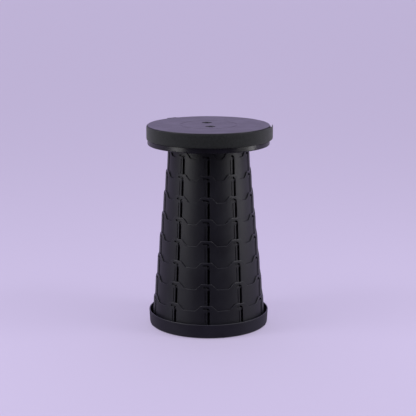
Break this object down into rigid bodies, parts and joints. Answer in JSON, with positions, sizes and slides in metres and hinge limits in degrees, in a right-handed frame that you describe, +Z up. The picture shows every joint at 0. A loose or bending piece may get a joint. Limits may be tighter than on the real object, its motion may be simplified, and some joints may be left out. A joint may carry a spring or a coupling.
{
  "type": "telescopic stool",
  "caption": "Round folding stool: conical plastic rings with hooked slots and wavy edges telescope from a dished base to a flat seat wound with a webbing carry strap.",
  "frame": {"origin": "on the floor, under the middle of the round base", "axes": "+Z up along the axis of the rings; the pictured front faces -Y and +X is to its right"},
  "size_m": [0.2563, 0.2563, 0.4181],
  "materials": {
    "seat_plastic": "fine moulded grain, satin",
    "ring_plastic": "moulded, satin",
    "base_plastic": "moulded, satin",
    "webbing": "flat woven",
    "rubber": "matt",
    "screw_steel": "zinc plated"
  },
  "bodies": {
    "base": {"base_dish": "base_plastic", "foot_1": "rubber", "foot_2": "rubber", "foot_3": "rubber", "foot_4": "rubber", "foot_5": "rubber", "foot_6": "rubber", "ring_9": "ring_plastic"},
    "ring_8": {"ring_8": "ring_plastic"},
    "ring_7": {"ring_7": "ring_plastic"},
    "ring_6": {"ring_6": "ring_plastic"},
    "ring_5": {"ring_5": "ring_plastic"},
    "ring_4": {"ring_4": "ring_plastic"},
    "ring_3": {"ring_3": "ring_plastic"},
    "ring_2": {"ring_2": "ring_plastic"},
    "seat": {"ring_1": "ring_plastic", "seat_cap": "seat_plastic", "seat_screw_1": "screw_steel", "seat_screw_2": "screw_steel", "seat_screw_3": "screw_steel", "seat_screw_4": "screw_steel", "seat_screw_5": "screw_steel", "seat_screw_6": "screw_steel", "carry_strap": "webbing", "strap_slider": "base_plastic"}
  },
  "joints": [
    {"name": "ring_8_slide", "type": "slide", "parent": "base", "child": "ring_8", "axis": [0, 0, -1], "range_m": [0, 0.0435]},
    {"name": "ring_7_slide", "type": "slide", "parent": "ring_8", "child": "ring_7", "axis": [0, 0, -1], "range_m": [0, 0.0435]},
    {"name": "ring_6_slide", "type": "slide", "parent": "ring_7", "child": "ring_6", "axis": [0, 0, -1], "range_m": [0, 0.0435]},
    {"name": "ring_5_slide", "type": "slide", "parent": "ring_6", "child": "ring_5", "axis": [0, 0, -1], "range_m": [0, 0.0435]},
    {"name": "ring_4_slide", "type": "slide", "parent": "ring_5", "child": "ring_4", "axis": [0, 0, -1], "range_m": [0, 0.0435]},
    {"name": "ring_3_slide", "type": "slide", "parent": "ring_4", "child": "ring_3", "axis": [0, 0, -1], "range_m": [0, 0.0435]},
    {"name": "ring_2_slide", "type": "slide", "parent": "ring_3", "child": "ring_2", "axis": [0, 0, -1], "range_m": [0, 0.0435]},
    {"name": "seat_slide", "type": "slide", "parent": "ring_2", "child": "seat", "axis": [0, 0, -1], "range_m": [0, 0.0435]}
  ]
}
